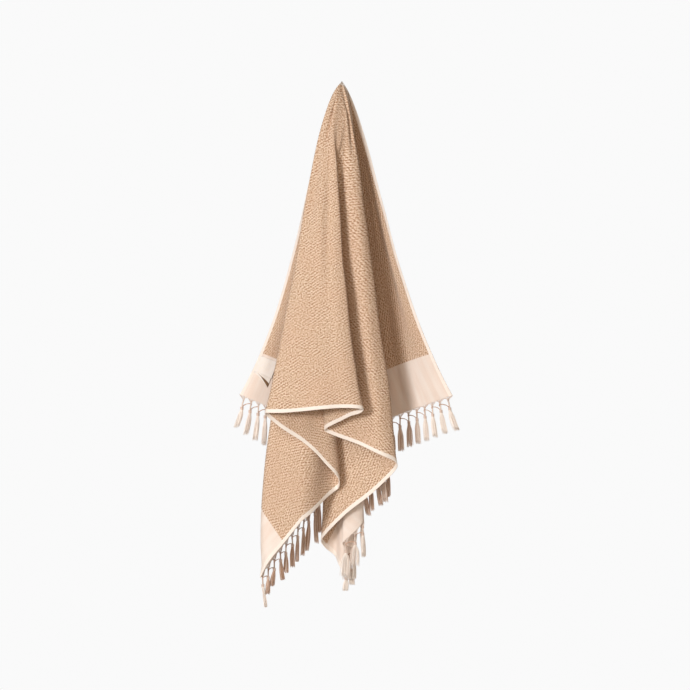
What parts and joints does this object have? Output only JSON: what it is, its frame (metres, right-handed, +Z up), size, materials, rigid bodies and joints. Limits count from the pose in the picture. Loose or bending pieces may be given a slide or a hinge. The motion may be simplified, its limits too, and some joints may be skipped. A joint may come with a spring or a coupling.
{
  "type": "bath towel",
  "caption": "Flat-woven bath towel hanging in deep folds from one point in the middle of a long edge, with a knotted tassel fringe along each short end.",
  "frame": {"origin": "the point that the towel hangs from, at the middle of one long edge", "axes": "+Z up; +X to the right and -Y toward the viewer, seen from the side that the front fold faces"},
  "size_m": [0.5205, 0.2646, 1.2954],
  "materials": {
    "woven_cotton": "textured tan weave with cream bands and pale selvedges",
    "fringe_yarn": "knotted cream cotton yarn",
    "label_tape": "bare woven tape"
  },
  "bodies": {
    "root": {"towel_cloth": "woven_cotton", "fringe_left": "fringe_yarn", "fringe_right": "fringe_yarn", "label": "label_tape"}
  },
  "joints": []
}
